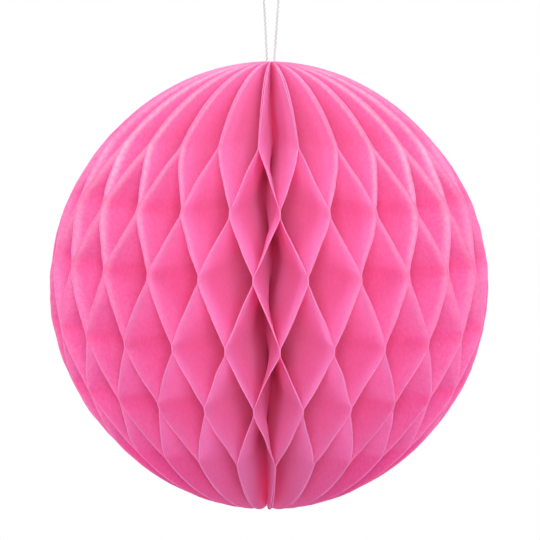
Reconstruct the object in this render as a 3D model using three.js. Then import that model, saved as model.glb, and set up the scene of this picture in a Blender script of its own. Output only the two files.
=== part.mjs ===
// Honeycomb paper ball.
//
// Half-disc leaves of tissue paper are glued face to face in a flat pad. The glue lies in short rows,
// and the rows of one gap between leaves are halfway between the rows of the next. Opened, the pad
// fans right round its straight edge, the spine: leaves stay together at their glue rows and part
// between them, which makes the cells. The pad's two card covers are glued to each other at a seam.
//
// Millimetres, +Z up, the front towards -Y and the seam at the back. The origin is the point of the
// string loop that hangs on a hook. Azimuths turn about the spine, from the front towards +X.

import * as THREE from "three";

// The ball
const BALL_WIDTH = 200; // across the middle
const BALL_HEIGHT = 204; // along the spine, from pole to pole
const LEAF_PAIRS = 25; // pairs of leaves round the ball
const FRONT_TURN = 2.8; // degrees, azimuth of the glued gap that is opposite the seam
const BUNCHING = 0.077; // share by which gaps are narrower at the front and at the seam
const RIM_PULL = 0.05; // share of its height that a leaf's rim loses to the zigzag

// The paper
const LEAF_THICKNESS = 0.2;
const CARD_THICKNESS = 0.3;
const CARD_INSET = 3; // the cards are cut this much smaller than the leaves
const TIP_WIDTH = 0.5; // width of a leaf's blunt tips at the poles

// The glue
const GLUE_FILM = 0.1; // between two sheets that are glued together
const GLUE_STRIP = 3.6; // height of one glue row
const MIDDLE_PITCH = 31.4; // between the two rows nearest the ball's middle, on a flat leaf
const OUTER_PITCH = 27.9; // between one row and the next further out
const GLUE_DROP = 0.7; // how far the rows as a whole sit below the ball's middle
const BARE_CAP = 20; // no row lies nearer to a pole than this

// The spine, a bead of hardened glue round the string's ends
const CORE_CLEARANCE = 0.2; // spare room between leaves where they crowd together at the core
const SPINE_CLEARANCE = 0.3; // between the bead and the leaves, and between the bead and the string
const SPINE_TOP_RECESS = 15.3; // how far the bead ends below the top pole
const SPINE_FOOT_RECESS = 0.4; // how far it ends above the bottom pole
const SPINE_SIDES = 16;

// The string loop
const STRING_DIAMETER = 1;
const STRING_SIDES = 8;
const STRING_STEPS = 40;
const LOOP_RISE = 33; // from the top pole up to the hook
// One strand from its end in the spine up to the top of the loop, as x and z from the hook.
// The other strand is its mirror image.
const STRAND_ROUTE = [
  [-1.45, -48],
  [-1.47, -44],
  [-1.5, -40],
  [-1.55, -36.5],
  [-1.62, -33],
  [-1.85, -29],
  [-2.12, -24],
  [-2.4, -19],
  [-2.7, -14],
  [-3, -9.5],
  [-3.25, -6],
  [-3.36, -3.5],
  [-3.1, -1.5],
  [-2.25, -0.35],
  [-1.15, 0.3],
  [0, 0.5],
];

// How finely round edges are drawn
const CAP_STEPS = 4; // levels from the last glue row to a pole
const CARD_SEGMENTS = 32;

const HALF_WIDTH = BALL_WIDTH / 2;
const HALF_HEIGHT = BALL_HEIGHT / 2;
const LEAF_COUNT = 2 * LEAF_PAIRS;
const UP = new THREE.Vector3(0, 0, 1);

const tissue = () => new THREE.MeshStandardMaterial({ color: "#ff69b0", roughness: 0.9, metalness: 0 });
const card = () => new THREE.MeshStandardMaterial({ color: "#f0559c", roughness: 0.8, metalness: 0 });
const glue = () => new THREE.MeshStandardMaterial({ color: "#ea5a9c", roughness: 0.5, metalness: 0 });
const cotton = () => new THREE.MeshStandardMaterial({ color: "#eceae6", roughness: 0.95, metalness: 0 });

// Gap g is the plane between leaf g and leaf g + 1. Gap 0 and gap LEAF_COUNT are both the seam.
const gapAzimuth = (gap) => {
  const even = 2 * Math.PI * (gap / LEAF_COUNT) - Math.PI;
  return THREE.MathUtils.degToRad(FRONT_TURN) + even - (BUNCHING / 2) * Math.sin(2 * even);
};

// The core is as wide as the leaves need to stand side by side round it without touching, and the
// cards start further out, where there is room for them too.
const NARROWEST_GAP = (2 * Math.PI * (1 - BUNCHING)) / LEAF_COUNT;
const roomRadius = (stack) => stack / Math.sin(NARROWEST_GAP) + CORE_CLEARANCE;
const CORE_RADIUS = roomRadius(LEAF_THICKNESS + GLUE_FILM);
const CARD_STACK = CARD_THICKNESS + GLUE_FILM;
const CARD_START = roomRadius(CARD_STACK + LEAF_THICKNESS + GLUE_FILM);

// Distance of a leaf's middle from the plane of the gap that it is glued into. At the seam it stands
// off by a card, from where the cards start.
const LEAF_OFFSET = (LEAF_THICKNESS + GLUE_FILM) / 2;
const seamOffset = (radius) => {
  const share = (radius - CORE_RADIUS) / (CARD_START - CORE_RADIUS);
  return LEAF_OFFSET + CARD_STACK * THREE.MathUtils.clamp(share, 0, 1);
};
const isSeam = (gap) => gap % LEAF_COUNT === 0;
const leafOffset = (gap, radius) => (isSeam(gap) ? seamOffset(radius) : LEAF_OFFSET);

// A flat leaf is half of an ellipse, and its straight edge stands off the axis by the core.
const rimRadius = (height) => HALF_WIDTH * Math.sqrt(1 - (height / HALF_HEIGHT) ** 2);
const tipHeight = (radius) => HALF_HEIGHT * Math.sqrt(1 - (radius / HALF_WIDTH) ** 2);
const TIP_HEIGHT = tipHeight(CORE_RADIUS + TIP_WIDTH);

// Zigzagging between its rows shortens a leaf, and the more the further out from the spine.
const openHeight = (height, radius) => height * (1 - RIM_PULL * (radius / HALF_WIDTH) ** 2);

// Heights of the glue rows on a flat leaf, from the bottom up.
const glueRows = () => {
  const upper = [];
  for (let height = MIDDLE_PITCH / 2; height < HALF_HEIGHT - BARE_CAP; height += OUTER_PITCH) {
    upper.push(height);
  }
  const lower = upper.map((row) => -row).reverse();
  return [...lower, ...upper].map((row) => row - GLUE_DROP);
};
const ROWS = glueRows();

// Row r glues every second gap: the gaps whose number and r add up to an odd number. A leaf's lean is
// 0 where it is glued into the gap before it and 1 where it is glued into the gap after it.
const leanAt = (leaf, row) => (leaf + row) % 2;

// Heights from one to another, at even steps round the rim.
const capHeights = (from, to) => {
  const start = Math.asin(from / HALF_HEIGHT);
  const end = Math.asin(to / HALF_HEIGHT);
  const angleAt = (step) => THREE.MathUtils.lerp(start, end, step / CAP_STEPS);
  return Array.from({ length: CAP_STEPS + 1 }, (_, step) => HALF_HEIGHT * Math.sin(angleAt(step)));
};

// A leaf's levels from its bottom tip to its top tip, each with its flat height and its lean. Above the
// last row and below the first, two leaves stay together as they are in that row.
const leafLevels = (leaf) => {
  const half = GLUE_STRIP / 2;
  const last = ROWS.length - 1;
  const level = (height, lean) => ({ height, lean });
  const levels = capHeights(-TIP_HEIGHT, ROWS[0] - half).map((height) => level(height, leanAt(leaf, 0)));
  ROWS.forEach((row, index) => {
    if (index > 0) {
      levels.push(level((ROWS[index - 1] + row) / 2, 0.5));
      levels.push(level(row - half, leanAt(leaf, index)));
    }
    if (index < last) {
      levels.push(level(row + half, leanAt(leaf, index)));
    }
  });
  const cap = capHeights(ROWS[last] + half, TIP_HEIGHT);
  return levels.concat(cap.map((height) => level(height, leanAt(leaf, last))));
};

// A closed body between two grids of points. Seen from the near grid's side, the rows of the grids run
// to the right and follow each other upwards.
const slab = (near, far) => {
  const rows = near.length;
  const columns = near[0].length;
  const points = [...near.flat(), ...far.flat()];
  const nearAt = (row, column) => row * columns + column;
  const farAt = (row, column) => rows * columns + nearAt(row, column);
  const triangles = [];
  const quad = (a, b, c, d) => triangles.push(a, b, c, a, c, d);
  const wall = (from, to) => quad(nearAt(...to), nearAt(...from), farAt(...from), farAt(...to));
  for (let row = 0; row < rows - 1; row += 1) {
    for (let column = 0; column < columns - 1; column += 1) {
      const corners = [[row, column], [row, column + 1], [row + 1, column + 1], [row + 1, column]];
      const [a, b, c, d] = corners;
      quad(nearAt(...a), nearAt(...b), nearAt(...c), nearAt(...d));
      quad(farAt(...a), farAt(...d), farAt(...c), farAt(...b));
    }
    wall([row, columns - 1], [row + 1, columns - 1]);
    wall([row + 1, 0], [row, 0]);
  }
  for (let column = 0; column < columns - 1; column += 1) {
    wall([0, column], [0, column + 1]);
    wall([rows - 1, column + 1], [rows - 1, column]);
  }
  const geometry = new THREE.BufferGeometry();
  geometry.setFromPoints(points);
  geometry.setIndex(triangles);
  geometry.computeVertexNormals();
  return geometry;
};

// A leaf lies between two gaps and never crosses the plane of either, so no two leaves can meet. It is
// made facing the front and turned to the azimuth that is halfway between its two gaps.
const tissueLeaf = (leaf) => {
  const gaps = [leaf - 1, leaf];
  const [before, after] = gaps.map(gapAzimuth);
  const middle = (before + after) / 2;
  const atSeam = gaps.some(isSeam);

  const gluedPoint = (side, radius, z) => {
    const turn = side === 0 ? before - middle : after - middle;
    const away = side === 0 ? 1 : -1;
    const point = new THREE.Vector3(away * leafOffset(gaps[side], radius), -radius, z);
    return point.applyAxisAngle(UP, turn);
  };
  const leafPoint = ({ height, lean }, radius, shift) => {
    const z = openHeight(height, radius);
    const point = gluedPoint(0, radius, z).lerp(gluedPoint(1, radius, z), lean);
    return point.add(new THREE.Vector3(shift, 0, 0));
  };
  const stations = (height) => {
    const rim = rimRadius(height);
    const bend = Math.min(CARD_START, (CORE_RADIUS + rim) / 2);
    return atSeam ? [CORE_RADIUS, bend, rim] : [CORE_RADIUS, rim];
  };
  const face = (shift) =>
    leafLevels(leaf).map((level) => stations(level.height).map((radius) => leafPoint(level, radius, shift)));

  const mesh = new THREE.Mesh(slab(face(-LEAF_THICKNESS / 2), face(LEAF_THICKNESS / 2)), tissue());
  mesh.name = `tissue_leaf_${String(leaf).padStart(2, "0")}`;
  mesh.rotation.z = middle;
  return mesh;
};

// A card is a flat half-disc like a leaf, cut a little smaller, with its straight edge clear of the core.
const coverCard = (name, offset) => {
  const rim = new THREE.Vector2(HALF_WIDTH - CARD_INSET, HALF_HEIGHT - CARD_INSET);
  const end = Math.acos(CARD_START / rim.x);
  const outline = new THREE.Shape();
  outline.absellipse(0, 0, rim.x, rim.y, -end, end, false, 0);
  outline.closePath();
  const settings = { depth: CARD_THICKNESS, bevelEnabled: false, curveSegments: CARD_SEGMENTS };
  const mesh = new THREE.Mesh(new THREE.ExtrudeGeometry(outline, settings), card());
  mesh.name = name;
  mesh.rotation.x = Math.PI / 2;
  mesh.position.y = offset;
  return mesh;
};

// The two cards lie face to face on the seam's plane, with a film of glue between them.
const coverCards = () => {
  const seam = new THREE.Group();
  seam.add(coverCard("front_cover_card", -GLUE_FILM / 2));
  seam.add(coverCard("back_cover_card", GLUE_FILM / 2 + CARD_THICKNESS));
  seam.rotation.z = gapAzimuth(0) - Math.PI / 2;
  return seam;
};

const spineBinding = () => {
  const top = HALF_HEIGHT - SPINE_TOP_RECESS;
  const foot = -HALF_HEIGHT + SPINE_FOOT_RECESS;
  const radius = CORE_RADIUS - SPINE_CLEARANCE;
  const mesh = new THREE.Mesh(new THREE.CylinderGeometry(radius, radius, top - foot, SPINE_SIDES), glue());
  mesh.name = "spine_binding";
  mesh.rotation.x = Math.PI / 2;
  mesh.position.z = (top + foot) / 2;
  return mesh;
};

const hangingString = () => {
  const rising = STRAND_ROUTE.map(([x, z]) => new THREE.Vector3(x, 0, z));
  const falling = rising.slice(0, -1).reverse();
  const mirrored = falling.map((point) => new THREE.Vector3(-point.x, 0, point.z));
  const route = new THREE.CatmullRomCurve3([...rising, ...mirrored]);
  const corner = (side) => {
    const angle = (2 * Math.PI * side) / STRING_SIDES;
    return new THREE.Vector2(Math.cos(angle), Math.sin(angle)).multiplyScalar(STRING_DIAMETER / 2);
  };
  const section = new THREE.Shape(Array.from({ length: STRING_SIDES }, (_, side) => corner(side)));
  const settings = { extrudePath: route, steps: STRING_STEPS, bevelEnabled: false };
  const mesh = new THREE.Mesh(new THREE.ExtrudeGeometry(section, settings), cotton());
  mesh.name = "hanging_string";
  return mesh;
};

const ball = new THREE.Group();
for (let leaf = 1; leaf <= LEAF_COUNT; leaf += 1) {
  ball.add(tissueLeaf(leaf));
}
ball.add(coverCards(), spineBinding());
ball.position.z = -LOOP_RISE - HALF_HEIGHT;

const honeycombBall = new THREE.Group();
honeycombBall.add(ball, hangingString());

export default honeycombBall;
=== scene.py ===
# %% [markdown]
# # A honeycomb paper ball
#
# The real ball starts as a flat pad: half-discs of hot-pink tissue paper between two card covers, glued
# to each other in short rows. Each gap between two leaves has its rows halfway between those of the next
# gap. Opened like a fan, right round its straight edge, the pad becomes a ball full of diamond cells.
#
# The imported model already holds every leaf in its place. This lesson loads it as a fixed frame and makes
# each piece again with the finish of the real one.

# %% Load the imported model
import math

import bpy
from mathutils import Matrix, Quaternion, Vector


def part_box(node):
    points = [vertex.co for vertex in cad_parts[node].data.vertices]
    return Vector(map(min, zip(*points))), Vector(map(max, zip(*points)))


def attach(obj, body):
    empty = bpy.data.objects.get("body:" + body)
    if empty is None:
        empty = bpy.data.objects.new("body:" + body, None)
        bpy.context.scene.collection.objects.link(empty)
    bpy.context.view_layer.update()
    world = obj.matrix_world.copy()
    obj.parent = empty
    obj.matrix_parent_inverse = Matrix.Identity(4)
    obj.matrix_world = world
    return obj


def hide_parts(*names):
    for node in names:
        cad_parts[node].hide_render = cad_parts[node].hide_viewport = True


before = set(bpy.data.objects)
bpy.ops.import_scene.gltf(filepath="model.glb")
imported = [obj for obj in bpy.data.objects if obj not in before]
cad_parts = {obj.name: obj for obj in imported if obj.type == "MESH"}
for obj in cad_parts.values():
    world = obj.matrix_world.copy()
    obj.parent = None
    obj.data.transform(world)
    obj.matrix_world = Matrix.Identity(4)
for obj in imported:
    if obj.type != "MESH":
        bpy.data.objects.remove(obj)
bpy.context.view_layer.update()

# %% [markdown]
# ## Sizes
#
# The script works in metres, so millimetres are written as a number times MM. These are the sizes that
# a maker of such balls would choose: the ball, how many leaves it has and how thick its sheets are. The
# ball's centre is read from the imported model, because that is where every piece has to go.

# %% Sizes of the ball
MM = 0.001
BALL_WIDTH = 200 * MM
BALL_HEIGHT = 204 * MM
LEAF_PAIRS = 25
LEAF_COUNT = 2 * LEAF_PAIRS
FRONT_TURN = math.radians(2.8)  # azimuth of the glued gap that is opposite the seam
BUNCHING = 0.077  # share by which gaps are narrower at the front and at the seam

LEAF_THICKNESS = 0.2 * MM
CARD_THICKNESS = 0.3 * MM
GLUE_FILM = 0.1 * MM
CORE_CLEARANCE = 0.2 * MM

leaf_low, leaf_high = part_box("tissue_leaf_01")
BALL_CENTRE = Vector((0, 0, (leaf_low[2] + leaf_high[2]) / 2))
print("ball centre", BALL_CENTRE)

# %% [markdown]
# ## Camera
#
# The photograph looks at the ball from the front and slightly from above, through a long lens. The ball
# hangs a little lower than the middle of the picture, so the camera aims just above its centre, and it
# is rolled by a hair because the ball in the picture leans to the right.

# %% Camera
CAMERA_DISTANCE = 1000 * MM
CAMERA_ELEVATION = math.radians(7.2)
CAMERA_ROLL = math.radians(0.45)
CAMERA_LENS = 145.8  # millimetres, on a sensor 36 mm wide
AIM_OFFSET = Vector((0.4, 0, 7.2)) * MM

camera = bpy.data.objects.new("camera", bpy.data.cameras.new("camera"))
bpy.context.scene.collection.objects.link(camera)
camera.data.lens = CAMERA_LENS
camera_way = Vector((0, -math.cos(CAMERA_ELEVATION), math.sin(CAMERA_ELEVATION)))
camera.location = BALL_CENTRE + CAMERA_DISTANCE * camera_way
looking = (BALL_CENTRE + AIM_OFFSET - camera.location).to_track_quat("-Z", "Y")
camera.rotation_mode = "QUATERNION"
camera.rotation_quaternion = looking @ Quaternion((0, 0, 1), CAMERA_ROLL)
bpy.context.scene.camera = camera
print("camera at", camera.location)

# %% [markdown]
# ## One way to add a node
#
# Geometry and materials are both made of nodes here. This function adds any node: it sets the node's
# settings, and fills its inputs in order or by name, with a plain value or with a link from another
# node.

# %% Add a node
def add(tree, kind, inputs=(), **settings):
    """Adds a node. An input is a value, a socket, or a node whose first output is meant."""
    node = tree.nodes.new(kind)
    for setting, value in settings.items():
        setattr(node, setting, value)
    pairs = inputs.items() if isinstance(inputs, dict) else enumerate(inputs)
    for place, value in pairs:
        if isinstance(value, bpy.types.Node):
            value = value.outputs[0]
        if isinstance(value, bpy.types.NodeSocket):
            tree.links.new(value, node.inputs[place])
        else:
            node.inputs[place].default_value = value
    return node


print("nodes are added by", add.__name__)

# %% [markdown]
# A shape that follows a rule is made by a tree of geometry nodes with named inputs for its sizes. The
# tree ends in real geometry with its material. It runs once, on an object that has the tree as its
# modifier, and what comes out is kept as a plain mesh.

# %% Start, end and run a geometry tree
def new_tree(name, inputs):
    """A geometry tree with these named inputs, and its sockets inside the tree by name."""
    tree = bpy.data.node_groups.new(name, "GeometryNodeTree")
    tree.interface.new_socket("Geometry", in_out="INPUT", socket_type="NodeSocketGeometry")
    for input_name, kind in inputs.items():
        tree.interface.new_socket(input_name, in_out="INPUT", socket_type=kind)
    tree.interface.new_socket("Geometry", in_out="OUTPUT", socket_type="NodeSocketGeometry")
    return tree, tree.nodes.new("NodeGroupInput").outputs


def end_tree(tree, shape, finish):
    """Ends a tree in real geometry with its material."""
    real = add(tree, "GeometryNodeRealizeInstances", [shape])
    painted = add(tree, "GeometryNodeSetMaterial", {"Geometry": real, "Material": finish})
    add(tree, "NodeGroupOutput", [painted])
    print("tree", tree.name, "has", len(tree.nodes), "nodes")


def run_tree(tree, name, values, start=None):
    """Runs a tree once and keeps the result as a plain mesh object."""
    piece = bpy.data.objects.new(name, start or bpy.data.meshes.new(name))
    bpy.context.scene.collection.objects.link(piece)
    modifier = piece.modifiers.new("shape", "NODES")
    modifier.node_group = tree
    for item in tree.interface.items_tree:
        if item.in_out == "INPUT" and item.name in values:
            modifier[item.identifier] = values[item.name]
    depsgraph = bpy.context.evaluated_depsgraph_get()
    result = bpy.data.meshes.new_from_object(piece.evaluated_get(depsgraph), depsgraph=depsgraph)
    piece.modifiers.remove(modifier)
    piece.data = result
    result.name = name
    return piece


print("trees are run by", run_tree.__name__)

# %% [markdown]
# ## Colours
#
# Colours are written as on a colour chart, in sRGB hex, and the renderer wants them linear. One function
# turns the one into the other.

# %% Colours and empty materials
def linear(hex_colour, alpha=1.0):
    """An sRGB hex colour as the linear colour that a shader takes."""
    parts = [int(hex_colour[place:place + 2], 16) / 255 for place in (1, 3, 5)]
    curved = [part / 12.92 if part <= 0.04045 else ((part + 0.055) / 1.055) ** 2.4 for part in parts]
    return (*curved, alpha)


def new_material(name):
    """An empty material, its nodes, and the socket that its surface goes into."""
    material = bpy.data.materials.new(name)
    material.use_nodes = True
    material.node_tree.nodes.clear()
    output = material.node_tree.nodes.new("ShaderNodeOutputMaterial")
    return material, material.node_tree, output.inputs["Surface"]


print("mid grey is", round(linear("#808080")[0], 3), "in linear light")

# %% [markdown]
# ## Dyed tissue paper
#
# Tissue is a felt of short wood fibres, dyed through. It is matte, it looks cloudy because its fibres lie
# in flocks of a millimetre or two, and it is so thin that it glows when light falls on its back. Light
# that goes from cell to cell takes the dye's colour at every sheet, so one sheet by itself is much paler
# than the ball.
#
# One even pink would look like plastic film. Noise at the size of the flocks and of the fibres makes the
# felt. It clouds the dye a little, and the light that comes through a lot, because thick flocks stop more
# of it. The colour is painted deeper towards the bottom, a painted shade for the lower half, where less
# light falls.

# %% Felt and dye
FLOCK_SIZE = 1.8 * MM
FIBRE_SIZE = 0.5 * MM  # real fibres are thinner, and are drawn this coarse so that they show
FIBRE_SHARE = 0.4
CLOUD_RANGE = (0.38, 0.62)  # felt noise in the thickest flocks and in the thinnest
# How strongly the painted shade darkens the bottom pole, and the height where it ends.
LOW_SHADE = 0.9  # share of the deeper dye at the bottom pole
LOW_SHADE_TOP = BALL_CENTRE.z - 30 * MM

tissue, nodes, surface = new_material("dyed tissue paper")
place = add(nodes, "ShaderNodeTexCoord").outputs["Object"]
spot = add(nodes, "ShaderNodeSeparateXYZ", [place])
height = spot.outputs["Z"]
flocks = add(nodes, "ShaderNodeTexNoise", {"Vector": place, "Scale": 1 / FLOCK_SIZE, "Detail": 3.0})
fibres = add(nodes, "ShaderNodeTexNoise", {"Vector": place, "Scale": 1 / FIBRE_SIZE, "Detail": 2.0})
felt = add(nodes, "ShaderNodeMix", {0: FIBRE_SHARE, 2: flocks, 3: fibres})
cloud = add(nodes, "ShaderNodeMapRange", [felt, *CLOUD_RANGE])

dye = {0: cloud, 6: linear("#f464ae"), 7: linear("#f973ba")}
dye = add(nodes, "ShaderNodeMix", dye, data_type="RGBA").outputs[2]
# Painted shade: the colour turns deeper towards the bottom, where less light falls.
painted_low_shade = add(nodes, "ShaderNodeMapRange", [height, leaf_low[2], LOW_SHADE_TOP, LOW_SHADE, 0.0])
dye = {0: painted_low_shade, 6: dye, 7: linear("#ea3c98")}
dye = add(nodes, "ShaderNodeMix", dye, data_type="RGBA").outputs[2]
glow = {0: cloud, 6: linear("#fa7cbc"), 7: linear("#fc9dcc")}
glow = add(nodes, "ShaderNodeMix", glow, data_type="RGBA").outputs[2]
print("flocks of", FLOCK_SIZE / MM, "mm and fibres of", FIBRE_SIZE / MM, "mm")

# %% [markdown]
# Along the cut a thin paler line is a painted highlight. Beside it a band a few millimetres wide is
# painted paler still, as painted light where the lamps reach the outer paper of each panel. The bands are
# painted in front on the upper half, and the upper half is painted a little paler as painted light from
# above, so both fade downwards, and the bands fade backwards too. Only a leaf knows where its rim is, so
# the leaves carry their distance from the rim as an attribute.

# %% Painted rim highlights
RIM_HIGHLIGHT_WIDTH = 6.0 * MM
RIM_HIGHLIGHT_START = BALL_CENTRE.z - 30 * MM
RIM_HIGHLIGHT_SIDES = (-0.55, -0.1)  # it fades between these, on the way round from the front, -1, to the back, 1
RIM_HIGHLIGHT_BEHIND = 0.3  # share of it that is left at the back
RIM_HIGHLIGHT_UNEVEN = (0.9, 1.4)  # its strength on the thickest flocks and on the thinnest
CUT_HIGHLIGHT_WIDTH = 1.2 * MM
CUT_HIGHLIGHT = 0.2
TOP_LIGHT_PALENESS = 0.08  # at the top pole

from_rim = add(nodes, "ShaderNodeAttribute", attribute_name="from_rim").outputs["Fac"]
# Painted highlight: a band along the rim, mottled, fading downwards and backwards.
painted_rim_highlight = [from_rim, 0.0, RIM_HIGHLIGHT_WIDTH, 1.0, 0.0]
painted_rim_highlight = add(nodes, "ShaderNodeMapRange", painted_rim_highlight, interpolation_type="SMOOTHSTEP")
highlight_mottle = add(nodes, "ShaderNodeMapRange", [cloud, 0.0, 1.0, *RIM_HIGHLIGHT_UNEVEN])
top_light_share = add(nodes, "ShaderNodeMapRange", [height, RIM_HIGHLIGHT_START, leaf_high[2]])
flat = add(nodes, "ShaderNodeVectorMath", [place, (1, 1, 0)], operation="MULTIPLY")
radius = add(nodes, "ShaderNodeVectorMath", [flat], operation="LENGTH").outputs["Value"]
round_back = add(nodes, "ShaderNodeMath", [spot.outputs["Y"], radius], operation="DIVIDE")
ahead = add(nodes, "ShaderNodeMapRange", [round_back, *RIM_HIGHLIGHT_SIDES, 1.0, RIM_HIGHLIGHT_BEHIND])
past_cut = add(nodes, "ShaderNodeMapRange", [from_rim, 0.0, CUT_HIGHLIGHT_WIDTH])
for part in (highlight_mottle, top_light_share, ahead, past_cut):
    painted_rim_highlight = add(nodes, "ShaderNodeMath", [painted_rim_highlight, part], operation="MULTIPLY")
# A painted highlight along the cut, and painted light from above that makes the upper half paler.
cut = add(nodes, "ShaderNodeMapRange", [from_rim, 0.0, CUT_HIGHLIGHT_WIDTH, CUT_HIGHLIGHT, 0.0])
painted_top_light = add(nodes, "ShaderNodeMath", [top_light_share, TOP_LIGHT_PALENESS], operation="MULTIPLY")
for part in (cut, painted_top_light):
    painted_rim_highlight = add(nodes, "ShaderNodeMath", [painted_rim_highlight, part], operation="MAXIMUM")
# The painted highlights and painted top light are mixed into the dye as a pale pink.
dye = {0: painted_rim_highlight, 6: dye, 7: linear("#ffe2ec")}
dye = add(nodes, "ShaderNodeMix", dye, data_type="RGBA").outputs[2]
print("frost", RIM_HIGHLIGHT_WIDTH / MM, "mm wide beside a cut of", CUT_HIGHLIGHT_WIDTH / MM, "mm")

# %% [markdown]
# Round the spine the cells are deep and lie in shade, so the paper there is painted as shade. It reaches
# farther out at the bottom, which lies in more shade, and has an uneven edge. Nearest the axis the painted
# colour is paler, farther out it is deeper. The distance from the ball's axis says how much painted shade
# there is, and soft noise makes the edge wander.

# %% Painted shade round the spine
CORE_SHADE_REACH = (60 * MM, 22 * MM)  # from the axis, at the bottom pole and at the top pole
CORE_SHADE_WAVE = 24 * MM
CORE_SHADE_WANDER = 0.5
CORE_SHADE_EDGE = (0.3, 1.3)  # shares of the reach, wandering included, between which the painted shade dies out

core_shade_reach = add(nodes, "ShaderNodeMapRange", [height, leaf_low[2], leaf_high[2], *CORE_SHADE_REACH])
share = add(nodes, "ShaderNodeMath", [radius, core_shade_reach], operation="DIVIDE")
wander = add(nodes, "ShaderNodeTexNoise", {"Vector": place, "Scale": 1 / CORE_SHADE_WAVE, "Detail": 1.0})
share = add(nodes, "ShaderNodeMath", [wander, CORE_SHADE_WANDER, share], operation="MULTIPLY_ADD")
# Painted shade round the spine: the mask and its colour, paler nearest the axis, deeper farther out.
painted_core_shade = [share, *CORE_SHADE_EDGE, 1.0, 0.0]
painted_core_shade = add(nodes, "ShaderNodeMapRange", painted_core_shade, interpolation_type="SMOOTHSTEP")
stain = {0: painted_core_shade, 6: linear("#f0549e"), 7: linear("#f68cc6")}
stain = add(nodes, "ShaderNodeMix", stain, data_type="RGBA").outputs[2]
print("glue soaks in up to", CORE_SHADE_REACH[0] / MM, "mm from the axis")

# %% [markdown]
# The surface is a rough, matte one with a sheen from fibres that stand up, mixed with a translucent one.
# Round the spine it is swapped for a painted shade: a surface with no sheen that lets no light through and
# looks crimson in the deep cells. A leaf is a closed body here, so light that goes through it meets two
# faces. A face seen from inside the paper is made clear, so that each leaf dyes and scatters the light
# once, as one sheet does.

# %% Tissue paper surface
SHINES_THROUGH = 0.35

relief = add(nodes, "ShaderNodeBump", {"Height": felt, "Strength": 0.35, "Distance": 0.12 * MM})
front = add(nodes, "ShaderNodeBsdfPrincipled", {
    "Base Color": dye, "Roughness": 0.6, "IOR": 1.5, "Specular IOR Level": 0.3, "Normal": relief,
    "Sheen Weight": 1.0, "Sheen Roughness": 0.65, "Sheen Tint": linear("#fdb8ff")})
through = add(nodes, "ShaderNodeBsdfTranslucent", {"Color": glow, "Normal": relief})
paper = add(nodes, "ShaderNodeMixShader", [SHINES_THROUGH, front, through])
core_shade_surface = {"Base Color": stain, "Roughness": 0.7, "Specular IOR Level": 0.1, "Normal": relief}
core_shade_surface = add(nodes, "ShaderNodeBsdfPrincipled", core_shade_surface)
# The painted shade swaps the paper for a surface with no sheen that lets no light through.
paper = add(nodes, "ShaderNodeMixShader", [painted_core_shade, paper, core_shade_surface])
inside = add(nodes, "ShaderNodeNewGeometry").outputs["Backfacing"]
clear = add(nodes, "ShaderNodeBsdfTransparent")
paper = add(nodes, "ShaderNodeMixShader", [inside, paper, clear])
nodes.links.new(paper.outputs[0], surface)
print("made", tissue.name)

# %% [markdown]
# ## Where the leaves are glued
#
# Gap g is the plane between leaf g and leaf g + 1, and gap 0 is the seam behind the ball, where the two
# cards lie. The gaps are spread round the ball a little closer at the front and back than at the sides.
# The glue rows lie at an even pitch on a flat leaf, apart from a wider one across the middle. Row r glues
# every second gap, so a leaf swings from the gap before it to the gap after it and back again.

# %% Gaps, rows and the core
GLUE_STRIP = 3.6 * MM
MIDDLE_PITCH = 31.4 * MM
OUTER_PITCH = 27.9 * MM
ROWS_ABOVE_MIDDLE = 3
GLUE_DROP = 0.7 * MM

gap_step = 2 * math.pi / LEAF_COUNT
narrowest_gap = gap_step * (1 - BUNCHING)
core_radius = (LEAF_THICKNESS + GLUE_FILM) / math.sin(narrowest_gap) + CORE_CLEARANCE
card_stack = CARD_THICKNESS + GLUE_FILM
card_start = (card_stack + LEAF_THICKNESS + GLUE_FILM) / math.sin(narrowest_gap) + CORE_CLEARANCE

above = [MIDDLE_PITCH / 2 + row * OUTER_PITCH for row in range(ROWS_ABOVE_MIDDLE)]
below = [-height for height in reversed(above)]
rows = [height - GLUE_DROP for height in below + above]


def gap_azimuth(gap):
    """The azimuth of a gap, from the front towards +X."""
    even = gap * gap_step - math.pi
    return FRONT_TURN + even - BUNCHING / 2 * math.sin(2 * even)


print("glue rows at", [round(row / MM, 1) for row in rows], "mm, core", round(core_radius / MM, 2), "mm")

# %% [markdown]
# ## The rule of a leaf
#
# Every leaf follows one rule, so one geometry tree makes them all. It starts from a flat grid. One
# direction of the grid runs from the spine out to the rim. The other climbs from the bottom tip to the
# top tip through bands: a bare cap, then a glue strip, a swing, a strip, and so on up to the other cap.
# Each band has its own number of grid steps, so that grid lines fall exactly on the edges of the strips.
#
# This first part turns the grid's height into a latitude on the leaf's outline, and counts how many
# swings lie below it.

# %% Inputs and bands of a leaf
CAP_STEPS = 14
STRIP_STEPS = 3
SWING_STEPS = 12

swing_count = len(rows) - 1
band_steps = [CAP_STEPS] + [STRIP_STEPS, SWING_STEPS] * swing_count + [STRIP_STEPS, CAP_STEPS]
climb_steps = sum(band_steps)

LEAF_LENGTHS = [
    "Rim radius", "Half height", "Core radius", "Tip width", "Glue strip", "Thickness", "Fluffed rim",
    "Offset", "Card start", "Card before", "Card after", "Crinkle", "Cap spread", "Ragged rim"]
LEAF_LENGTHS += [f"Row {row}" for row in range(len(rows))]
LEAF_NUMBERS = ["Gap before", "Gap after", "Lean at the foot", "Rim pull", "Curl", "Seed"]
LEAF_INPUTS = {name: "NodeSocketFloat" for name in LEAF_LENGTHS + LEAF_NUMBERS}
LEAF_INPUTS |= {
    "Rim steps": "NodeSocketInt", "Ball centre": "NodeSocketVector", "Paper": "NodeSocketMaterial"}
print("a leaf climbs in", climb_steps, "steps through", len(band_steps), "bands")


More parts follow.
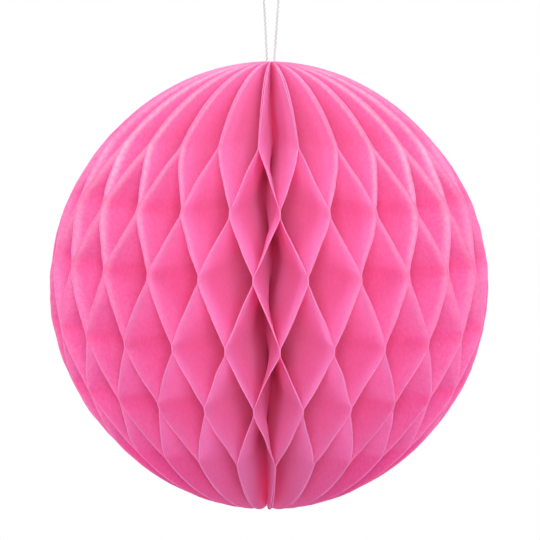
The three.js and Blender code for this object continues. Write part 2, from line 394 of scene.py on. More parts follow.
# %% Climb a leaf
def band_edges(tree, size):
    """Latitudes of the bands' edges from the bottom tip to the top tip."""
    tip = add(tree, "ShaderNodeMath", [size["Core radius"], size["Tip width"]])
    tip = add(tree, "ShaderNodeMath", [tip, size["Rim radius"]], operation="DIVIDE")
    tip = add(tree, "ShaderNodeMath", [tip], operation="ARCCOSINE")
    edges = [add(tree, "ShaderNodeMath", [tip, -1.0], operation="MULTIPLY")]
    for row in range(len(rows)):
        for side in (-0.5, 0.5):
            edge = [size["Glue strip"], side, size[f"Row {row}"]]
            edge = add(tree, "ShaderNodeMath", edge, operation="MULTIPLY_ADD")
            edge = add(tree, "ShaderNodeMath", [edge, size["Half height"]], operation="DIVIDE")
            edges.append(add(tree, "ShaderNodeMath", [edge], operation="ARCSINE"))
    return edges + [tip]


def climb(tree, size, up):
    """The latitude, the swings so far and how far the caps are open, at a height on the grid."""
    edges = band_edges(tree, size)
    latitude, swings, bulge = edges[0], 0.0, 0.0
    start = 0
    for band, count in enumerate(band_steps):
        first, last = start / climb_steps, (start + count) / climb_steps
        start += count
        share = add(tree, "ShaderNodeMapRange", [up, first, last])
        width = add(tree, "ShaderNodeMath", [edges[band + 1], edges[band]], operation="SUBTRACT")
        latitude = add(tree, "ShaderNodeMath", [share, width, latitude], operation="MULTIPLY_ADD")
        if count == SWING_STEPS:
            swings = add(tree, "ShaderNodeMath", [share, swings])
        if count == CAP_STEPS:
            arch = add(tree, "ShaderNodeMath", [share, math.pi], operation="MULTIPLY")
            arch = add(tree, "ShaderNodeMath", [arch], operation="SINE")
            bulge = add(tree, "ShaderNodeMath", [arch, bulge])
    return latitude, swings, bulge


leaf_tree, leaf_size = new_tree("tissue leaf", LEAF_INPUTS)
print("a leaf's tree has", len(LEAF_INPUTS), "inputs")

# %% [markdown]
# The second part places a point. The paper leaves a glue strip with a sharp fold and crosses to the next
# gap almost straight, so the lean from gap to gap is a zigzag that is hardly eased. Between strips the
# paper crinkles a little, less near the crowded core. The grid's columns crowd towards the rim, where
# the detail is. In the caps two leaves lie side by side and spread by half a millimetre.

# %% Lean and crinkles of a leaf
CRINKLE_SIZE = 22 * MM
RAGGED_SIZE = 9 * MM
CROWDED_RADIUS = 25 * MM
SEED_WAVES = 10  # waves from one leaf's noise to the next leaf's
NOISE_RANGE = (0.25, 0.75)  # what the noise mostly stays between


def wobble(tree, size, out, height, wave):
    """Smooth noise from -1 to 1 over the flat leaf, another on each leaf."""
    seed = add(tree, "ShaderNodeMath", [size["Seed"], SEED_WAVES * wave], operation="MULTIPLY")
    spot = add(tree, "ShaderNodeCombineXYZ", [out, height, seed])
    noise = add(tree, "ShaderNodeTexNoise", {"Vector": spot, "Scale": 1 / wave, "Detail": 1.0})
    return add(tree, "ShaderNodeMapRange", [noise, *NOISE_RANGE, -1.0, 1.0])


def lean_of(tree, size, swings):
    """Where the leaf lies from the gap before it, 0, to the gap after it, 1, and how far from a strip."""
    phase = add(tree, "ShaderNodeMath", [swings, size["Lean at the foot"]])
    zigzag = add(tree, "ShaderNodeMath", [phase, 1.0], operation="PINGPONG")
    eased = [zigzag, 0.0, 1.0, 0.0, 1.0]
    eased = add(tree, "ShaderNodeMapRange", eased, interpolation_type="SMOOTHSTEP")
    lean = add(tree, "ShaderNodeMix", {0: size["Curl"], 2: zigzag, 3: eased})
    rest = add(tree, "ShaderNodeMath", [1.0, zigzag], operation="SUBTRACT")
    free = add(tree, "ShaderNodeMath", [zigzag, rest], operation="MULTIPLY")
    return lean, free


def sideways(tree, size, lean, free, bulge, out, height):
    """How far crinkles and open caps move a point across the leaf."""
    crinkle = wobble(tree, size, out, height, CRINKLE_SIZE)
    crinkle = add(tree, "ShaderNodeMath", [crinkle, size["Crinkle"]], operation="MULTIPLY")
    crinkle = add(tree, "ShaderNodeMath", [crinkle, free], operation="MULTIPLY")
    inward = add(tree, "ShaderNodeMath", [lean, -2.0, 1.0], operation="MULTIPLY_ADD")
    spread = add(tree, "ShaderNodeMath", [bulge, size["Cap spread"]], operation="MULTIPLY")
    both = add(tree, "ShaderNodeMath", [spread, inward, crinkle], operation="MULTIPLY_ADD")
    room = add(tree, "ShaderNodeMapRange", [out, size["Core radius"], CROWDED_RADIUS])
    return add(tree, "ShaderNodeMath", [both, room], operation="MULTIPLY")


print("crinkles of", CRINKLE_SIZE / MM, "mm")

# %% [markdown]
# The core isn't straight either. The crowded leaves are slack there and lean to one side and the other
# in turn, up to a couple of millimetres. All pieces take the same bend, which depends only on where a
# point is, so leaves that lie apart stay apart. It dies out towards the rim, towards both poles and
# towards the back, where the cards keep the core straight.

# %% Bend of the core
BEND = 2.2 * MM
BEND_WAVE = 56 * MM  # two pitches of the glue rows
BEND_REACH = 50 * MM
BEND_ENDS = (60 * MM, 85 * MM)  # heights from the middle between which the bend dies out
BEND_FRONT = (-8 * MM, 4 * MM)  # from here to there, front to back, it dies out too


def bent_core(tree, spot):
    """A point's place, measured from the ball's centre, after the core's bend."""
    part = add(tree, "ShaderNodeSeparateXYZ", [spot])
    flat = add(tree, "ShaderNodeCombineXYZ", [part.outputs["X"], part.outputs["Y"], 0.0])
    radius = add(tree, "ShaderNodeVectorMath", [flat], operation="LENGTH").outputs["Value"]
    near = [radius, 0.0, BEND_REACH, BEND, 0.0]
    near = add(tree, "ShaderNodeMapRange", near, interpolation_type="SMOOTHSTEP")
    height = add(tree, "ShaderNodeMath", [part.outputs["Z"]], operation="ABSOLUTE")
    inside = [height, *BEND_ENDS, 1.0, 0.0]
    inside = add(tree, "ShaderNodeMapRange", inside, interpolation_type="SMOOTHSTEP")
    ahead = [part.outputs["Y"], *BEND_FRONT, 1.0, 0.0]
    ahead = add(tree, "ShaderNodeMapRange", ahead, interpolation_type="SMOOTHSTEP")
    size = add(tree, "ShaderNodeMath", [near, inside], operation="MULTIPLY")
    size = add(tree, "ShaderNodeMath", [size, ahead], operation="MULTIPLY")
    angle = [part.outputs["Z"], 2 * math.pi / BEND_WAVE]
    angle = add(tree, "ShaderNodeMath", angle, operation="MULTIPLY")
    wave = add(tree, "ShaderNodeMath", [angle], operation="SINE")
    shift = add(tree, "ShaderNodeMath", [wave, size], operation="MULTIPLY")
    bend = add(tree, "ShaderNodeCombineXYZ", [shift, 0.0, 0.0])
    return add(tree, "ShaderNodeVectorMath", [spot, bend])


print("the core bends by", BEND / MM, "mm")

# %% [markdown]
# Each point is worked out twice, as if its leaf lay flat in the gap before it and in the gap after it, and
# the lean mixes the two. So a panel from gap to gap is as straight as real paper. Paper can't stretch:
# the zigzag takes up some of the rim's height, so the rim is pulled in a little towards the middle.

# %% Points of a leaf
RIM_CROWDING = 1.7
FULLY_FREE = 4.0  # lifts the free share, a quarter at most, to 1


def point_in_gap(tree, size, side, across, out, height):
    """The leaf's point where it is glued into the gap before it or after it."""
    way = {"before": 1.0, "after": -1.0}[side]
    past_core = add(tree, "ShaderNodeMapRange", [out, size["Core radius"], size["Card start"]])
    stand_off = [past_core, size[f"Card {side}"], size["Offset"]]
    stand_off = add(tree, "ShaderNodeMath", stand_off, operation="MULTIPLY_ADD")
    across = add(tree, "ShaderNodeMath", [stand_off, way, across], operation="MULTIPLY_ADD")
    front = add(tree, "ShaderNodeMath", [out, -1.0], operation="MULTIPLY")
    spot = add(tree, "ShaderNodeCombineXYZ", [across, front, height])
    turn = {"Vector": spot, "Angle": size[f"Gap {side}"]}
    return add(tree, "ShaderNodeVectorRotate", turn, rotation_type="Z_AXIS")


def leaf_points(tree, size, grid):
    """Every grid point's place on the leaf, its distance from the rim, and how loose the paper is."""
    flat = add(tree, "ShaderNodeSeparateXYZ", [grid.outputs["UV Map"]])
    latitude, swings, bulge = climb(tree, size, flat.outputs["Y"])
    sine = add(tree, "ShaderNodeMath", [latitude], operation="SINE")
    cosine = add(tree, "ShaderNodeMath", [latitude], operation="COSINE")
    flat_height = add(tree, "ShaderNodeMath", [sine, size["Half height"]], operation="MULTIPLY")
    rim = add(tree, "ShaderNodeMath", [cosine, size["Rim radius"]], operation="MULTIPLY")
    ragged = wobble(tree, size, rim, flat_height, RAGGED_SIZE)
    rim = add(tree, "ShaderNodeMath", [ragged, size["Ragged rim"], rim], operation="MULTIPLY_ADD")
    inwards = add(tree, "ShaderNodeMath", [1.0, flat.outputs["X"]], operation="SUBTRACT")
    inwards = add(tree, "ShaderNodeMath", [inwards, RIM_CROWDING], operation="POWER")
    out = add(tree, "ShaderNodeMapRange", [inwards, 1.0, 0.0, size["Core radius"], rim])
    from_rim = add(tree, "ShaderNodeMath", [rim, out], operation="SUBTRACT")

    share = add(tree, "ShaderNodeMath", [out, size["Rim radius"]], operation="DIVIDE")
    pull = add(tree, "ShaderNodeMath", [share, share], operation="MULTIPLY")
    pull = add(tree, "ShaderNodeMath", [pull, size["Rim pull"]], operation="MULTIPLY")
    pull = add(tree, "ShaderNodeMath", [1.0, pull], operation="SUBTRACT")
    height = add(tree, "ShaderNodeMath", [flat_height, pull], operation="MULTIPLY")

    lean, free = lean_of(tree, size, swings)
    across = sideways(tree, size, lean, free, bulge, out, flat_height)
    before = point_in_gap(tree, size, "before", across, out, height)
    after = point_in_gap(tree, size, "after", across, out, height)
    spot = add(tree, "ShaderNodeMix", {0: lean, 4: before, 5: after}, data_type="VECTOR")
    spot = bent_core(tree, spot.outputs[1])
    spot = add(tree, "ShaderNodeVectorMath", [spot, size["Ball centre"]])
    loose = add(tree, "ShaderNodeMath", [free, FULLY_FREE, bulge], operation="MULTIPLY_ADD", use_clamp=True)
    return spot, from_rim, loose


columns = add(leaf_tree, "ShaderNodeMath", [leaf_size["Rim steps"], 1.0])
grid = {"Vertices X": columns, "Vertices Y": climb_steps + 1}
grid = add(leaf_tree, "GeometryNodeMeshGrid", grid)
spot, from_rim, loose = leaf_points(leaf_tree, leaf_size, grid)
print("points of a leaf take", len(leaf_tree.nodes), "nodes")

# %% [markdown]
# The last part of the tree gives the sheet its thickness. The bent grid is the middle of the paper, so
# it is pushed back by half the thickness and then drawn out by all of it. A turned copy closes the back.
# Along the cut rim the fibre ends fluff the paper up, but not where it is pressed into a glue strip. The
# sharp edges of the cut are marked, and the faces are shaded smooth between them.

# %% Thickness of a leaf
FLUFFED_WIDTH = 1.2 * MM
CUT_ANGLE = math.radians(60)
WELD = 0.002 * MM


def thick_sheet(tree, sheet):
    """A closed body round an open sheet, as thick as the sheet's own thickness attribute says."""
    thickness = add(tree, "GeometryNodeInputNamedAttribute", {"Name": "thickness"}, data_type="FLOAT")
    normal = add(tree, "GeometryNodeInputNormal")
    half = add(tree, "ShaderNodeMath", [thickness, -0.5], operation="MULTIPLY")
    back = add(tree, "ShaderNodeVectorMath", {0: normal, 3: half}, operation="SCALE")
    behind = add(tree, "GeometryNodeSetPosition", {"Geometry": sheet, "Offset": back})
    drawn = {"Mesh": behind, "Offset Scale": thickness, "Individual": False}
    drawn = add(tree, "GeometryNodeExtrudeMesh", drawn, mode="FACES")
    turned = add(tree, "GeometryNodeFlipFaces", [behind])
    closed = add(tree, "GeometryNodeJoinGeometry", [drawn])
    tree.links.new(turned.outputs[0], closed.inputs[0])
    closed = add(tree, "GeometryNodeMergeByDistance", {"Geometry": closed, "Distance": WELD})
    closed = add(tree, "GeometryNodeRemoveAttribute", {"Geometry": closed, "Name": "thickness"})
    smooth = add(tree, "GeometryNodeSetShadeSmooth", {"Geometry": closed, "Shade Smooth": True})
    angle = add(tree, "GeometryNodeInputMeshEdgeAngle").outputs["Unsigned Angle"]
    cut = add(tree, "ShaderNodeMath", [angle, CUT_ANGLE], operation="GREATER_THAN")
    edges = {"Geometry": smooth, "Selection": cut, "Shade Smooth": False}
    return add(tree, "GeometryNodeSetShadeSmooth", edges, domain="EDGE")


fluff = add(leaf_tree, "ShaderNodeMapRange", [from_rim, 0.0, FLUFFED_WIDTH, 1.0, 0.0])
fluff = add(leaf_tree, "ShaderNodeMath", [fluff, loose], operation="MULTIPLY")
thickness = [fluff, leaf_size["Fluffed rim"], leaf_size["Thickness"]]
thickness = add(leaf_tree, "ShaderNodeMath", thickness, operation="MULTIPLY_ADD")
sheet = grid
for name, value in (("from_rim", from_rim), ("thickness", thickness)):
    marked = {"Geometry": sheet, "Name": name, "Value": value}
    sheet = add(leaf_tree, "GeometryNodeStoreNamedAttribute", marked, data_type="FLOAT", domain="POINT")
sheet = add(leaf_tree, "GeometryNodeSetPosition", {"Geometry": sheet, "Position": spot})
end_tree(leaf_tree, thick_sheet(leaf_tree, sheet), leaf_size["Paper"])

# %% [markdown]
# ## Fifty leaves
#
# The tree runs once for each leaf, with the azimuths of the two gaps that it hangs between. The first
# and the last leaf lie against the cards at the seam, so there they stand off by a card's thickness, and
# need more columns to bend round the cards' straight edge.

# %% Sizes of a leaf
RIM_STEPS = 26
SEAM_RIM_STEPS = 64

leaf_sizes = {
    "Rim radius": BALL_WIDTH / 2,
    "Half height": BALL_HEIGHT / 2,
    "Core radius": core_radius,
    "Tip width": 0.5 * MM,
    "Rim pull": 0.05,
    "Glue strip": GLUE_STRIP,
    "Thickness": LEAF_THICKNESS,
    "Fluffed rim": 0.2 * MM,
    "Offset": (LEAF_THICKNESS + GLUE_FILM) / 2,
    "Card start": card_start,
    "Curl": 0.05,
    "Crinkle": 2.8 * MM,
    "Cap spread": 0.25 * MM,
    "Ragged rim": 0.25 * MM,
    "Ball centre": BALL_CENTRE,
    "Paper": tissue,
}
leaf_sizes |= {f"Row {row}": height for row, height in enumerate(rows)}
print("a leaf is cut", BALL_WIDTH / 2 / MM, "by", BALL_HEIGHT / MM, "mm")


# %% Make the leaves
def make_leaf(leaf):
    """One leaf in its place, instead of its plain solid."""
    at_seam = leaf in (1, LEAF_COUNT)
    own = {
        "Gap before": gap_azimuth(leaf - 1),
        "Gap after": gap_azimuth(leaf),
        "Card before": card_stack if leaf == 1 else 0.0,
        "Card after": card_stack if leaf == LEAF_COUNT else 0.0,
        "Lean at the foot": float(leaf % 2),
        "Rim steps": SEAM_RIM_STEPS if at_seam else RIM_STEPS,
        "Seed": float(leaf),
    }
    node = f"tissue_leaf_{leaf:02d}"
    piece = run_tree(leaf_tree, f"paper_{node}", leaf_sizes | own)
    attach(piece, "root")
    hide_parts(node)
    return piece


leaves = [make_leaf(leaf) for leaf in range(1, LEAF_COUNT + 1)]
print(len(leaves), "leaves of", len(leaves[1].data.polygons), "faces")

# %% [markdown]
# ## Twisted cotton
#
# The string is white cotton, spun into plies that are laid round each other. It is fuzzy and quite matte.
# Light hardly gets into the grooves between the plies, so they are painted darker as painted shade. The
# string carries its distance from its own middle as an attribute, and the material reads it.

# %% Cotton material
FUZZ_SIZE = 0.3 * MM

cotton, nodes, surface = new_material("twisted white cotton")
place = add(nodes, "ShaderNodeTexCoord").outputs["Object"]
fuzz = add(nodes, "ShaderNodeTexNoise", {"Vector": place, "Scale": 1 / FUZZ_SIZE, "Detail": 4.0})
from_axis = add(nodes, "ShaderNodeAttribute", attribute_name="from_axis").outputs["Fac"]
# Painted shade: the grooves between the plies are painted darker than the crowns.
groove_shade_mix = add(nodes, "ShaderNodeMapRange", [from_axis, 0.5, 0.95])
yarn = {0: groove_shade_mix, 6: linear("#7c7f80"), 7: linear("#d2d6d7")}
yarn = add(nodes, "ShaderNodeMix", yarn, data_type="RGBA").outputs[2]
lint = add(nodes, "ShaderNodeMapRange", [fuzz, 0.4, 0.7, 0.0, 0.5])
yarn = {0: lint, 6: yarn, 7: linear("#dadddf")}
yarn = add(nodes, "ShaderNodeMix", yarn, data_type="RGBA").outputs[2]
relief = add(nodes, "ShaderNodeBump", {"Height": fuzz, "Strength": 0.5, "Distance": 0.05 * MM})
spun = {"Base Color": yarn, "Roughness": 0.9, "Normal": relief, "Sheen Weight": 0.2}
spun = add(nodes, "ShaderNodeBsdfPrincipled", spun)
nodes.links.new(spun.outputs[0], surface)
print("made", cotton.name)

# %% [markdown]
# ## The string loop
#
# The string leaves the core at the top pole, goes up to the hook and comes back. Bump on a plain tube
# could draw the plies, but they also show in its outline, so they are real here. The route is a list of
# points. The tree draws a smooth curve through them, copies it once for each ply, and winds each copy
# round the route before it gives it thickness.

# %% Route of the string
STRAND_ROUTE = [
    (-1.45, -48), (-1.47, -44), (-1.5, -40), (-1.55, -36.5), (-1.62, -33), (-1.85, -29), (-2.12, -24),
    (-2.4, -19), (-2.7, -14), (-3, -9.5), (-3.25, -6), (-3.36, -3.5), (-3.1, -1.5), (-2.25, -0.35),
    (-1.15, 0.3), (0, 0.5),
]
rising = [Vector((x, 0, z)) * MM for x, z in STRAND_ROUTE]
falling = [Vector((-point.x, 0, point.z)) for point in reversed(rising[:-1])]
string_route = rising + falling

# %% Route and copies in the string's tree
string_tree, size = new_tree("twisted string", {
    "Diameter": "NodeSocketFloat", "Plies": "NodeSocketInt", "Lay": "NodeSocketFloat",
    "Ply radius": "NodeSocketFloat", "Points": "NodeSocketInt", "Yarn": "NodeSocketMaterial"})
route = add(string_tree, "GeometryNodeMeshToCurve", [size["Geometry"]])
route = add(string_tree, "GeometryNodeCurveSplineType", [route], spline_type="CATMULL_ROM")
route = add(string_tree, "GeometryNodeResampleCurve", {"Curve": route, "Count": size["Points"]})
here = add(string_tree, "GeometryNodeInputPosition")
route = {"Geometry": route, "Name": "axis", "Value": here}
route = add(string_tree, "GeometryNodeStoreNamedAttribute", route, data_type="FLOAT_VECTOR")
plies = {"Geometry": route, "Amount": size["Plies"]}
plies = add(string_tree, "GeometryNodeDuplicateElements", plies, domain="SPLINE")
print("the string's route takes", len(string_tree.nodes), "nodes")

# %% Wind the plies
start = [plies.outputs["Duplicate Index"], size["Plies"]]
start = add(string_tree, "ShaderNodeMath", start, operation="DIVIDE")
length = add(string_tree, "GeometryNodeSplineParameter").outputs["Length"]
turns = add(string_tree, "ShaderNodeMath", [length, size["Lay"]], operation="DIVIDE")
turns = add(string_tree, "ShaderNodeMath", [turns, start])
angle = add(string_tree, "ShaderNodeMath", [turns, 2 * math.pi], operation="MULTIPLY")
normal = add(string_tree, "GeometryNodeInputNormal")
tangent = add(string_tree, "GeometryNodeInputTangent")
away = {"Vector": normal, "Axis": tangent, "Angle": angle}
away = add(string_tree, "ShaderNodeVectorRotate", away)
from_middle = add(string_tree, "ShaderNodeMath", [size["Diameter"], 0.5], operation="MULTIPLY")
from_middle = add(string_tree, "ShaderNodeMath", [from_middle, size["Ply radius"]], operation="SUBTRACT")
away = add(string_tree, "ShaderNodeVectorMath", {0: away, 3: from_middle}, operation="SCALE")
wound = add(string_tree, "GeometryNodeSetPosition", {"Geometry": plies, "Offset": away})
print("the wound plies take", len(string_tree.nodes), "nodes")

# %% Thicken the plies
PLY_SIDES = 10

ring = {"Resolution": PLY_SIDES, "Radius": size["Ply radius"]}
ring = add(string_tree, "GeometryNodeCurvePrimitiveCircle", ring)
tube = {"Curve": wound, "Profile Curve": ring, "Fill Caps": True}
tube = add(string_tree, "GeometryNodeCurveToMesh", tube)
axis = {"Name": "axis"}
axis = add(string_tree, "GeometryNodeInputNamedAttribute", axis, data_type="FLOAT_VECTOR")
from_axis = add(string_tree, "ShaderNodeVectorMath", [here, axis], operation="DISTANCE").outputs["Value"]
from_axis = add(string_tree, "ShaderNodeMath", [from_axis, size["Diameter"]], operation="DIVIDE")
from_axis = add(string_tree, "ShaderNodeMath", [from_axis, 2.0], operation="MULTIPLY")
tube = {"Geometry": tube, "Name": "from_axis", "Value": from_axis}
tube = add(string_tree, "GeometryNodeStoreNamedAttribute", tube, data_type="FLOAT")
tube = add(string_tree, "GeometryNodeRemoveAttribute", {"Geometry": tube, "Name": "axis"})
tube = add(string_tree, "GeometryNodeSetShadeSmooth", {"Geometry": tube, "Shade Smooth": True})
end_tree(string_tree, tube, size["Yarn"])

# %% Make the string
STRING_DIAMETER = 1.0 * MM
STRING_PLIES = 3
PLY_PRESS = 1.08  # plies press into each other, so each is this much thicker than if they just touched

string_sizes = {
    "Diameter": STRING_DIAMETER,
    "Plies": STRING_PLIES,
    "Lay": 6.0 * MM,  # length of one turn of a ply
    "Ply radius": PLY_PRESS * STRING_DIAMETER / 2 / (1 + 1 / math.sin(math.pi / STRING_PLIES)),
    "Points": 420,
    "Yarn": cotton,
}
string_line = bpy.data.meshes.new("string_route")
string_line.from_pydata(string_route, [(i, i + 1) for i in range(len(string_route) - 1)], [])
string = run_tree(string_tree, "twisted_string", string_sizes, start=string_line)
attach(string, "root")
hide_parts("hanging_string")
print("string has", len(string.data.polygons), "faces")

# %% [markdown]
# ## The two cards
#
# The cards are the covers of the flat pad, thin board dyed like the paper, and lie face to face in the
# seam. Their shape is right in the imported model, so they keep it and only get their finish: board is
# pressed from coarser pulp than tissue and lets no light through.

# %% Card material
PULP_SIZE = 0.6 * MM

card, nodes, surface = new_material("dyed card")
place = add(nodes, "ShaderNodeTexCoord").outputs["Object"]
pulp = add(nodes, "ShaderNodeTexNoise", {"Vector": place, "Scale": 1 / PULP_SIZE, "Detail": 4.0})
speck = add(nodes, "ShaderNodeMapRange", [pulp, 0.3, 0.7])
board = {0: speck, 6: linear("#e84f95"), 7: linear("#f360a5")}
board = add(nodes, "ShaderNodeMix", board, data_type="RGBA").outputs[2]
relief = add(nodes, "ShaderNodeBump", {"Height": pulp, "Strength": 0.3, "Distance": 0.05 * MM})
board = add(nodes, "ShaderNodeBsdfPrincipled", {"Base Color": board, "Roughness": 0.8, "Normal": relief})
nodes.links.new(board.outputs[0], surface)
for node in ("front_cover_card", "back_cover_card"):
    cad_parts[node].data.materials.clear()
    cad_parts[node].data.materials.append(card)
print("two cards of", card.name)

# %% [markdown]
# ## The glue spine
#
# The straight edges of all leaves are held by a bead of glue that was brushed on wet and took up some of
# the dye. It dried uneven and a little glossy. A tree sweeps a ring along the axis, rounds its ends and
# sinks soft lumps into it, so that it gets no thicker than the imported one. Then it takes the same bend as
# the leaves round it.

# %% Glue material
BRUSH_SIZE = 4 * MM

glue, nodes, surface = new_material("dye-stained dried glue")
place = add(nodes, "ShaderNodeTexCoord").outputs["Object"]
streaks = add(nodes, "ShaderNodeTexNoise", {"Vector": place, "Scale": 1 / BRUSH_SIZE, "Detail": 2.0})
stain = {0: streaks, 6: linear("#e4508f"), 7: linear("#f47fb6")}
stain = add(nodes, "ShaderNodeMix", stain, data_type="RGBA").outputs[2]
bead_skin = {"Base Color": stain, "Roughness": 0.45, "IOR": 1.47}
bead_skin = add(nodes, "ShaderNodeBsdfPrincipled", bead_skin)
nodes.links.new(bead_skin.outputs[0], surface)
print("made", glue.name)

# %% Sweep the glue bead
BEAD_STEPS = 600
BEAD_SIDES = 24
TIP_SHARE = 0.05  # of the radius is left at the very tip, so that the ends can be closed

bead_tree, size = new_tree("glue bead", {
    "Radius": "NodeSocketFloat", "Foot": "NodeSocketVector", "Top": "NodeSocketVector",
    "Round end": "NodeSocketFloat", "Lumps": "NodeSocketFloat", "Ball centre": "NodeSocketVector",
    "Glue": "NodeSocketMaterial"})
axis = {"Start": size["Foot"], "End": size["Top"]}
axis = add(bead_tree, "GeometryNodeCurvePrimitiveLine", axis)
axis = add(bead_tree, "GeometryNodeResampleCurve", {"Curve": axis, "Count": BEAD_STEPS + 1})
along = add(bead_tree, "GeometryNodeSplineParameter").outputs["Length"]
whole = add(bead_tree, "GeometryNodeSplineLength")
back = add(bead_tree, "ShaderNodeMath", [whole, along], operation="SUBTRACT")
nearest = add(bead_tree, "ShaderNodeMath", [along, back], operation="MINIMUM")
dome = add(bead_tree, "ShaderNodeMapRange", [nearest, 0.0, size["Round end"], 1.0, 0.0])
dome = add(bead_tree, "ShaderNodeMath", [dome, dome], operation="MULTIPLY")
dome = add(bead_tree, "ShaderNodeMath", [1.0, dome], operation="SUBTRACT")
dome = add(bead_tree, "ShaderNodeMath", [dome], operation="SQRT")
dome = add(bead_tree, "ShaderNodeMath", [dome, TIP_SHARE], operation="MAXIMUM")
axis = add(bead_tree, "GeometryNodeSetCurveRadius", {"Curve": axis, "Radius": dome})
ring = {"Resolution": BEAD_SIDES, "Radius": size["Radius"]}
ring = add(bead_tree, "GeometryNodeCurvePrimitiveCircle", ring)
bead = {"Curve": axis, "Profile Curve": ring, "Fill Caps": True}
bead = add(bead_tree, "GeometryNodeCurveToMesh", bead)
print("a plain bead takes", len(bead_tree.nodes), "nodes")

# %% Lumps and bend of the glue bead
LUMP_SIZE = 5 * MM

lump = add(bead_tree, "ShaderNodeTexNoise", {"Scale": 1 / LUMP_SIZE, "Detail": 1.0})
sink = add(bead_tree, "ShaderNodeMath", [lump, size["Lumps"]], operation="MULTIPLY")
sink = add(bead_tree, "ShaderNodeMath", [sink, -1.0], operation="MULTIPLY")
normal = add(bead_tree, "GeometryNodeInputNormal")
inwards = add(bead_tree, "ShaderNodeVectorMath", {0: normal, 3: sink}, operation="SCALE")
bead = add(bead_tree, "GeometryNodeSetPosition", {"Geometry": bead, "Offset": inwards})
here = add(bead_tree, "GeometryNodeInputPosition")
here = add(bead_tree, "ShaderNodeVectorMath", [here, size["Ball centre"]], operation="SUBTRACT")
here = add(bead_tree, "ShaderNodeVectorMath", [bent_core(bead_tree, here), size["Ball centre"]])
bead = add(bead_tree, "GeometryNodeSetPosition", {"Geometry": bead, "Position": here})
bead = add(bead_tree, "GeometryNodeSetShadeSmooth", {"Geometry": bead, "Shade Smooth": True})
end_tree(bead_tree, bead, size["Glue"])

# %% Make the glue bead
spine_low, spine_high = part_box("spine_binding")
bead_sizes = {
    "Radius": (spine_high[0] - spine_low[0]) / 2,
    "Foot": (0.0, 0.0, spine_low[2]),
    "Top": (0.0, 0.0, spine_high[2]),
    "Round end": 0.4 * MM,
    "Lumps": 0.3 * MM,
    "Ball centre": BALL_CENTRE,
    "Glue": glue,
}
spine = run_tree(bead_tree, "glue_spine_binding", bead_sizes)
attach(spine, "root")
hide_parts("spine_binding")
print("bead has", len(spine.data.polygons), "faces")

# %% [markdown]
# ## Studio
#
# The photograph is a cut-out on white. The white is only what the camera sees, and what glossy or clear
# surfaces would mirror: to the paper the world is a dim, even light. A pale floor lies well below the
# ball and takes its shadow.

# %% Floor
FLOOR_DROP = 600 * MM
FLOOR_HALF = 900 * MM

floor_height = leaf_low[2] - FLOOR_DROP
corners = [(-1, -1), (1, -1), (1, 1), (-1, 1)]
corners = [(x * FLOOR_HALF, y * FLOOR_HALF, floor_height) for x, y in corners]
floor_mesh = bpy.data.meshes.new("floor")
floor_mesh.from_pydata(corners, [], [(0, 1, 2, 3)])
floor = bpy.data.objects.new("floor", floor_mesh)
bpy.context.scene.collection.objects.link(floor)
pale, nodes, surface = new_material("pale floor paint")
paint = add(nodes, "ShaderNodeBsdfDiffuse", {"Color": linear("#d2d1d0")})
nodes.links.new(paint.outputs[0], surface)
floor_mesh.materials.append(pale)
print("floor at", round(floor_height / MM), "mm")

# %% World
WORLD_LEVEL = 0.19

world = bpy.data.worlds.new("studio")
world.use_nodes = True
bpy.context.scene.world = world
nodes = world.node_tree
nodes.nodes.clear()
rays = add(nodes, "ShaderNodeLightPath").outputs
glass = [rays["Is Transmission Ray"], rays["Is Diffuse Ray"]]
glass = add(nodes, "ShaderNodeMath", glass, operation="SUBTRACT", use_clamp=True)
seen = [rays["Is Camera Ray"], rays["Is Glossy Ray"]]
seen = add(nodes, "ShaderNodeMath", seen, operation="MAXIMUM")
seen = add(nodes, "ShaderNodeMath", [seen, glass], operation="MAXIMUM")
soft = add(nodes, "ShaderNodeBackground", {"Color": (1, 1, 1, 1), "Strength": WORLD_LEVEL})
white = add(nodes, "ShaderNodeBackground", {"Color": (1, 1, 1, 1), "Strength": 1.0})
sky = add(nodes, "ShaderNodeMixShader", [seen, soft, white])
add(nodes, "ShaderNodeOutputWorld", [sky])
print("world at", WORLD_LEVEL)

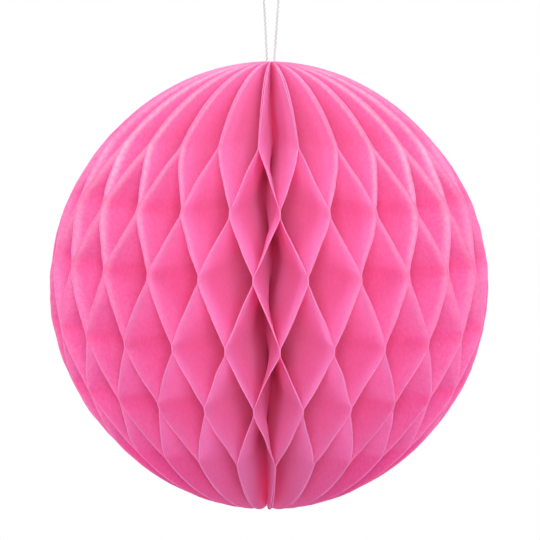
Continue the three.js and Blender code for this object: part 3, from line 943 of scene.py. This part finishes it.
# %% [markdown]
# Seven soft boxes light the ball. The front one stands by the camera and lights the panels that the
# camera sees, deep into the cells. The one above and the two at the sides shine through the outermost
# paper of each panel, which makes the rims glow. Two stand at the sides behind the ball, as a bright white
# backdrop would, and keep its outline clear. One behind and above lights the back, for a look from there.
# A lamp's level is how bright it makes a white card that faces it.

# %% Lamps
LAMP_DISTANCE = 1800 * MM
LAMP_SIZE = 600 * MM


def softbox(name, azimuth, elevation, level):
    """A square lamp that faces the ball. Azimuths go from the front towards +X, in degrees."""
    lamp = bpy.data.lights.new(name, "AREA")
    lamp.size = LAMP_SIZE
    lamp.energy = level * (math.pi * LAMP_DISTANCE) ** 2
    turn, rise = math.radians(azimuth), math.radians(elevation)
    way = Vector((math.sin(turn) * math.cos(rise), -math.cos(turn) * math.cos(rise), math.sin(rise)))
    stand = bpy.data.objects.new(name, lamp)
    stand.location = BALL_CENTRE + LAMP_DISTANCE * way
    stand.rotation_mode = "QUATERNION"
    stand.rotation_quaternion = way.to_track_quat("Z", "Y")
    bpy.context.scene.collection.objects.link(stand)
    return stand


lamps = [
    softbox("front_softbox", 1, 9, 0.72),
    softbox("right_softbox", 54, 38, 0.30),
    softbox("left_softbox", -46, 33, 0.30),
    softbox("top_softbox", 8, 68, 0.22),
    softbox("right_back_softbox", 125, 15, 0.35),
    softbox("left_back_softbox", -125, 15, 0.35),
    softbox("back_softbox", 180, 35, 0.55),
]
print(len(lamps), "lamps at", LAMP_DISTANCE, "m")

# %% [markdown]
# Light crosses many leaves on its way through the ball, and is dyed at each of them. With only a few
# bounces the cells would be too dark, so the renderer may follow a ray much farther than usual. The
# Standard view shows a colour as it is written.

# %% Light through many sheets
MOST_BOUNCES = 32

bpy.context.scene.view_settings.view_transform = "Standard"
bpy.context.scene.cycles.max_bounces = MOST_BOUNCES
bpy.context.scene.cycles.diffuse_bounces = MOST_BOUNCES
bpy.context.scene.cycles.transmission_bounces = MOST_BOUNCES
print("light may bounce", MOST_BOUNCES, "times")
